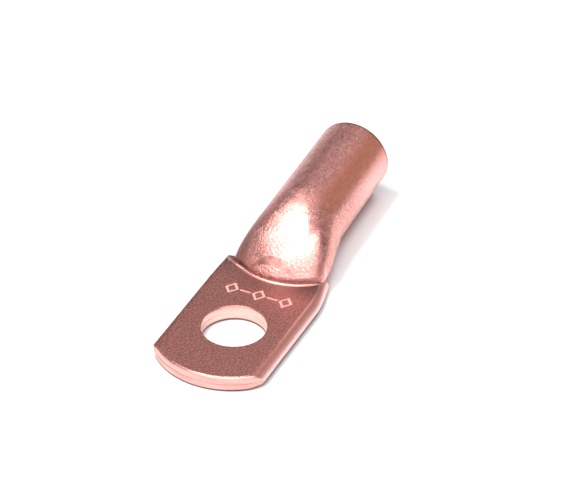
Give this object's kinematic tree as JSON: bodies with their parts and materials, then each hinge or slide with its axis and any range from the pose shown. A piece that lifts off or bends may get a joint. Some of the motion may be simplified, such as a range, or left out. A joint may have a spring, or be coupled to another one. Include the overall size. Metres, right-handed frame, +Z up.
{
  "type": "cable lug",
  "caption": "Crimp cable lug of copper tube: an open round barrel takes the stripped cable and the pressed flat palm is punched for a terminal stud.",
  "frame": {"origin": "centre of the stud hole on the palm's underside", "axes": "+X along the barrel to its open mouth, +Z up out of the palm's upper face, +Y across the palm"},
  "size_m": [0.0481, 0.0154, 0.01],
  "materials": {
    "copper": "satin"
  },
  "bodies": {
    "root": {"cable_lug": "copper"}
  },
  "joints": []
}
